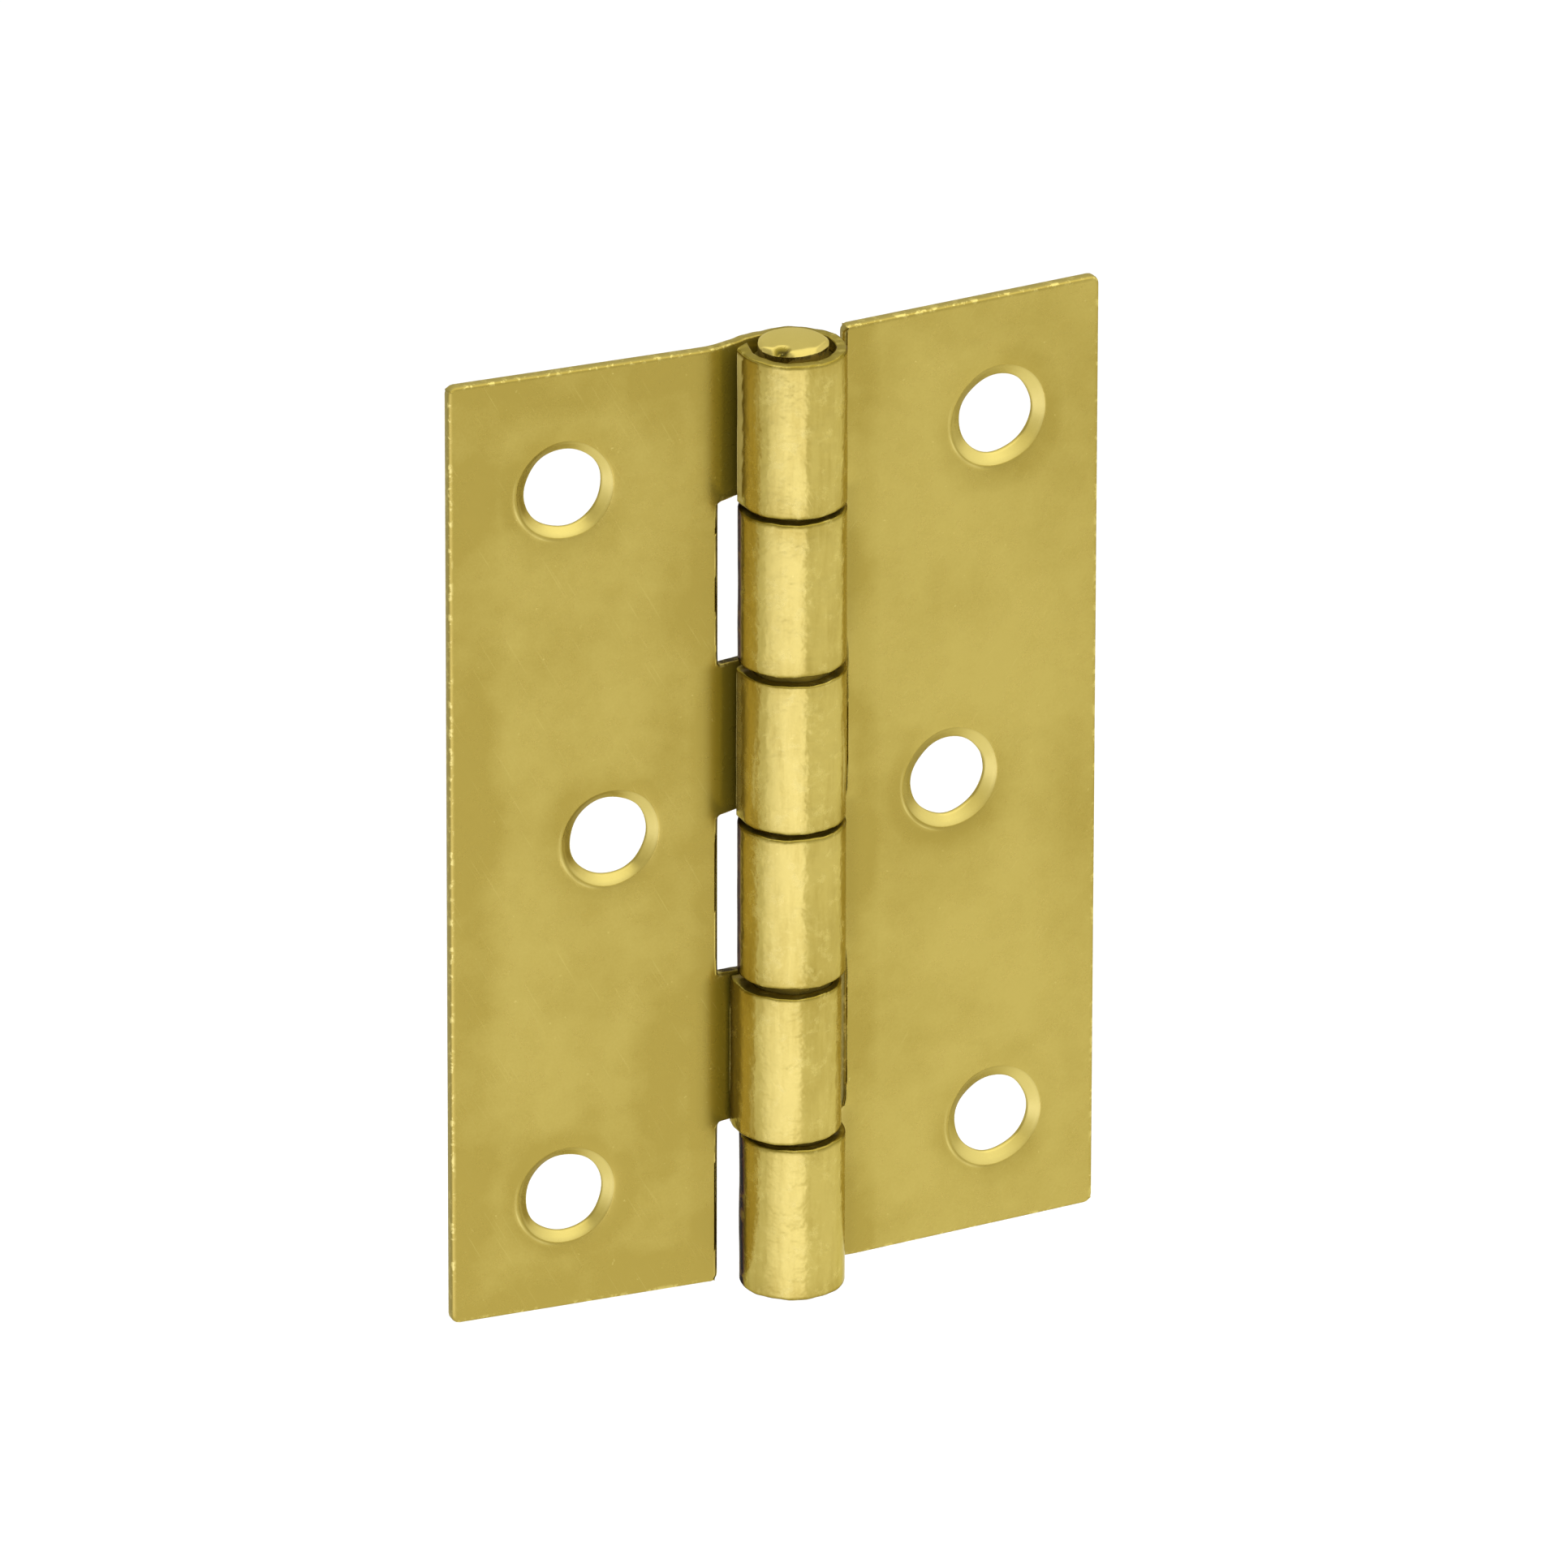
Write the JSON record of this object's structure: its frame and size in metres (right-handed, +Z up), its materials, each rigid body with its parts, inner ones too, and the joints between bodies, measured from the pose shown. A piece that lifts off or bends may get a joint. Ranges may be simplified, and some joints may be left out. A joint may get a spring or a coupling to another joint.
{
  "type": "butt hinge",
  "caption": "Pressed sheet-metal butt hinge in a brass finish, its cranked leaves curled into interleaved knuckles round a loose-running pin, with countersunk screw holes.",
  "frame": {"origin": "on the fixed leaf's back face, midway between its two outer screw holes", "axes": "+Z up along the pin, +X from the fixed leaf towards the pin, +Y into the surface that the fixed leaf is screwed to"},
  "size_m": [0.0489, 0.0088, 0.0705],
  "materials": {
    "leaf": "satin plated, with fine handling scratches",
    "pin": "satin plated, hammered at the end"
  },
  "bodies": {
    "frame_side": {"fixed_leaf": "leaf", "hinge_pin": "pin"},
    "door_side": {"swing_leaf": "leaf"}
  },
  "joints": [
    {"name": "leaf_swing", "type": "hinge", "parent": "frame_side", "child": "door_side", "pos_m": [0.0161, -0.00228, 0.00018], "axis": [0, 0, 1], "range_deg": [-186.6, 119.5]}
  ]
}
